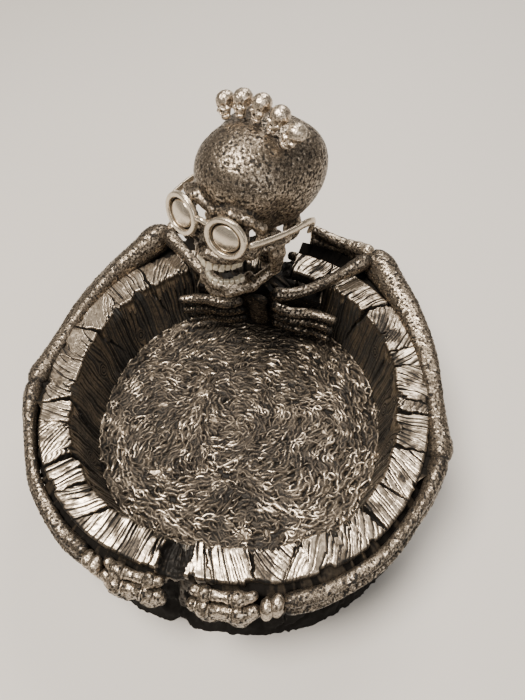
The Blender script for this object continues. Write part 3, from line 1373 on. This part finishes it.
def crest_field(grid):
    """One of the small skulls, with lines between its teeth."""
    skull = worked(grid, egg(grid, (0, 0.35, 0.9), (2.75, 3.05, 2.65)), CREST_SKULL)
    x, y, z = np.moveaxis(grid, -1, 0)
    lines = 0.10 * (0.5 + 0.5 * np.cos(x * 2 * np.pi / 0.62))
    mouth = bell(z + 2.55, 0.5) * (y < -1.2)
    slit = bell(z + 2.62, 0.12) * (y < -1.4)
    return skull + (lines * mouth + 0.25 * slit) * (np.abs(x) < 1.4)


def make_crest(looks):
    voxel = 0.13
    field = crest_field(field_grid(CREST_LOW, (3.6, 4.0, 4.2), voxel))
    stand = HEAD_BREADTH / 2 + 3.9
    for number in range(CREST_COUNT):
        angle = CREST_STEP * (number - (CREST_COUNT - 1) / 2)
        place = Matrix.Translation((stand * np.sin(angle), -4.5, stand * np.cos(angle) * 0.985))
        lean = Matrix.Rotation(angle * 0.9, 4, "Y")
        node = "crest_skull_%d" % (number + 1)
        add_field_piece(node, looks["bone"], field, CREST_LOW, voxel, 640 + number,
                        0.06, head_frame() @ place @ lean, gain=4.0, base=0.86)


# Spectacles

LENS_CENTRE = (8.2, -25.3, -7.2)
LENS_HALF = (5.0, 4.8)
RIM_WIDTH = 1.7
SPLAY = np.radians(9)
BRIDGE = ((-2.4, -25.9, -5.4, 0.8), (0.0, -26.5, -4.7, 0.85), (2.4, -25.9, -5.4, 0.8))
TEMPLE = ((15.0, -23.6, -7.2, 1.0), (17.0, -18.0, -7.0, 1.0), (18.9, -9.0, -7.0, 1.0),
          (19.5, -1.0, -7.2, 1.1), (19.0, 4.0, -9.5, 1.15), (17.6, 5.6, -14.5, 0.9))


def lens_frame(side):
    """The place of a lens, which turns a little outwards."""
    place = Matrix.Translation((side * LENS_CENTRE[0], LENS_CENTRE[1], LENS_CENTRE[2]))
    turn = Matrix.Rotation(side * SPLAY, 4, "Z") @ Matrix.Rotation(np.radians(90), 4, "X")
    return head_frame() @ place @ turn


def rim_points(side):
    """A broad oval rim with a rounded section."""
    turn = full_turn(220)
    points = []
    for section in full_turn(40):
        squared = (abs(np.cos(section)) ** 4 + abs(np.sin(section)) ** 4) ** -0.25
        out = RIM_WIDTH / 2 * (squared * np.cos(section) + 1)
        lift = 0.8 * squared * np.sin(section) + 0 * turn
        points.append(np.stack([(LENS_HALF[0] + out) * np.cos(turn), (LENS_HALF[1] + out) * np.sin(turn),
                                lift], -1))
    quads = loop_quads(len(points), len(turn), close_rows=True)[:, ::-1]
    return turned(np.concatenate(points), lens_frame(side)), quads


def smooth_piece(node, parts, looks, seed):
    """One mesh from several swept parts, with the light wear of polished metal."""
    points, quads, caps = [], [], []
    start = 0
    for part_points, part_quads, part_caps in parts:
        points.append(part_points)
        quads.append(part_quads + start)
        caps += [cap + start for cap in part_caps]
        start += len(part_points)
    points = np.concatenate(points)
    scratches = 0.03 * ramp(layered(points, 0.9, seed, 2), 0.2, 0.8)
    add_sculpt(node, looks["satin"], (points, np.concatenate(quads), caps), scratches, 1.5, 0.80)


def make_spectacles(looks):
    head = head_frame()
    points, quads, caps = sweep(BRIDGE, 0.14)
    parts = [(*rim_points(side), []) for side in (1, -1)]
    parts.append((turned(points, head), quads, caps))
    smooth_piece("spectacle_frame", parts, looks, 700)
    for side, word in ((1, "left"), (-1, "right")):
        points, quads, caps = sweep(mirrored(TEMPLE, side), 0.2, tall=1.25, wide=0.72)
        part = (turned(points, head), quads, caps)
        smooth_piece("spectacle_temple_" + word, [part], looks, 710 + side)
        make_lens(looks, side, word)


def make_lens(looks, side, word):
    """A domed oval lens that drops to a dark groove inside its rim."""
    turn = full_turn(150)
    rows = []
    wears = []
    for share in np.linspace(1, 0.01, 60):
        lift = 1.45 * (1 - share ** 2.4) - 0.25 - 0.55 * bell(share - 0.90, 0.05)
        rows.append(np.stack([LENS_HALF[0] * share * np.cos(turn), LENS_HALF[1] * share * np.sin(turn),
                              lift + 0 * turn], -1))
        wears.append(0.84 - 0.75 * bell(share - 0.92, 0.06) + 0 * turn)
    rows.insert(0, rows[0] - (0, 0, 0.6))
    wears.insert(0, wears[0])
    points = turned(np.concatenate(rows), lens_frame(side))
    quads, caps = tube_faces(len(rows), len(turn))
    node = "spectacle_lens_" + word
    mesh = build_mesh(node + "_sculpt", points, quads, caps)
    worn = 0.12 * ramp(layered(points, 1.4, 720 + side, 2), 0.1, 0.8)
    set_wear(mesh, np.concatenate(wears) - worn)
    add_piece(node + "_sculpt", node, looks["satin"], mesh)


# Stage

def make_stage():
    bpy.ops.mesh.primitive_plane_add(size=6.0, location=(0, 0, 0))
    floor = bpy.context.object
    floor.name = "studio_floor"
    made = bpy.data.materials.new("studio_floor")
    made.use_nodes = True
    shader = made.node_tree.nodes["Principled BSDF"]
    shader.inputs["Base Color"].default_value = (0.62, 0.60, 0.57, 1.0)
    shader.inputs["Roughness"].default_value = 0.6
    floor.data.materials.append(made)


def add_light(name, place, target, size, power, colour):
    data = bpy.data.lights.new(name, "AREA")
    data.shape = "DISK"
    data.size = size
    data.energy = power
    data.color = colour
    lamp = bpy.data.objects.new(name, data)
    bpy.context.scene.collection.objects.link(lamp)
    lamp.location = place
    aim = Vector(target) - Vector(place)
    lamp.rotation_euler = aim.to_track_quat("-Z", "Y").to_euler()


def make_light():
    low_middle = (0, 0, 0.04)
    add_light("key", (-0.16, -0.06, 0.68), low_middle, 0.28, 9.0, (1.0, 0.91, 0.80))
    add_light("fill", (0.50, -0.40, 0.50), low_middle, 0.6, 2.2, (1.0, 0.95, 0.90))
    add_light("back", (0.12, 0.62, 0.62), (0, 0, 0.05), 0.40, 4.5, (1.0, 0.93, 0.85))
    world = bpy.data.worlds.new("studio")
    world.use_nodes = True
    background = world.node_tree.nodes["Background"]
    background.inputs["Color"].default_value = (0.80, 0.78, 0.75, 1.0)
    background.inputs["Strength"].default_value = 0.17
    bpy.context.scene.world = world


def make_camera():
    data = bpy.data.cameras.new("camera")
    data.lens = CAMERA_LENS
    data.sensor_width = 36.0
    data.clip_start = 0.005
    camera = bpy.data.objects.new("camera", data)
    bpy.context.scene.collection.objects.link(camera)
    turn = Matrix.Rotation(CAMERA_AZIMUTH, 4, "Z") @ Matrix.Rotation(np.pi / 2 - CAMERA_DOWN, 4, "X")
    turn = turn @ Matrix.Rotation(CAMERA_ROLL, 4, "Z")
    camera.matrix_world = Matrix.Translation(CAMERA_PLACE) @ turn
    bpy.context.scene.camera = camera


def make_everything():
    make_camera()
    make_stage()
    make_light()
    looks = make_looks()
    make_rim(looks)
    make_wall(looks)
    make_floor(looks)
    make_bark(looks)
    make_sternum(looks)
    make_chest_core(looks)
    make_spine(looks)
    for side, word in ((1, "left"), (-1, "right")):
        make_arms(looks, side, word)
        make_hand(looks, side, word)
        make_front_ribs(looks, side, word)
        make_back_ribs(looks, side, word)
        make_scapula(looks, side, word)
    make_neck(looks)
    make_skull(looks)
    make_jaw(looks)
    make_teeth(looks, "upper_teeth", (7.0, -22.0, -13.0), -20.6, 2.9, -1, head_frame(), 1.0, 650)
    make_teeth(looks, "lower_teeth", (6.6, -21.2, -12.0), -28.4, 2.3, 1, jaw_frame(), 0.92, 660)
    make_crest(looks)
    make_spectacles(looks)


make_everything()
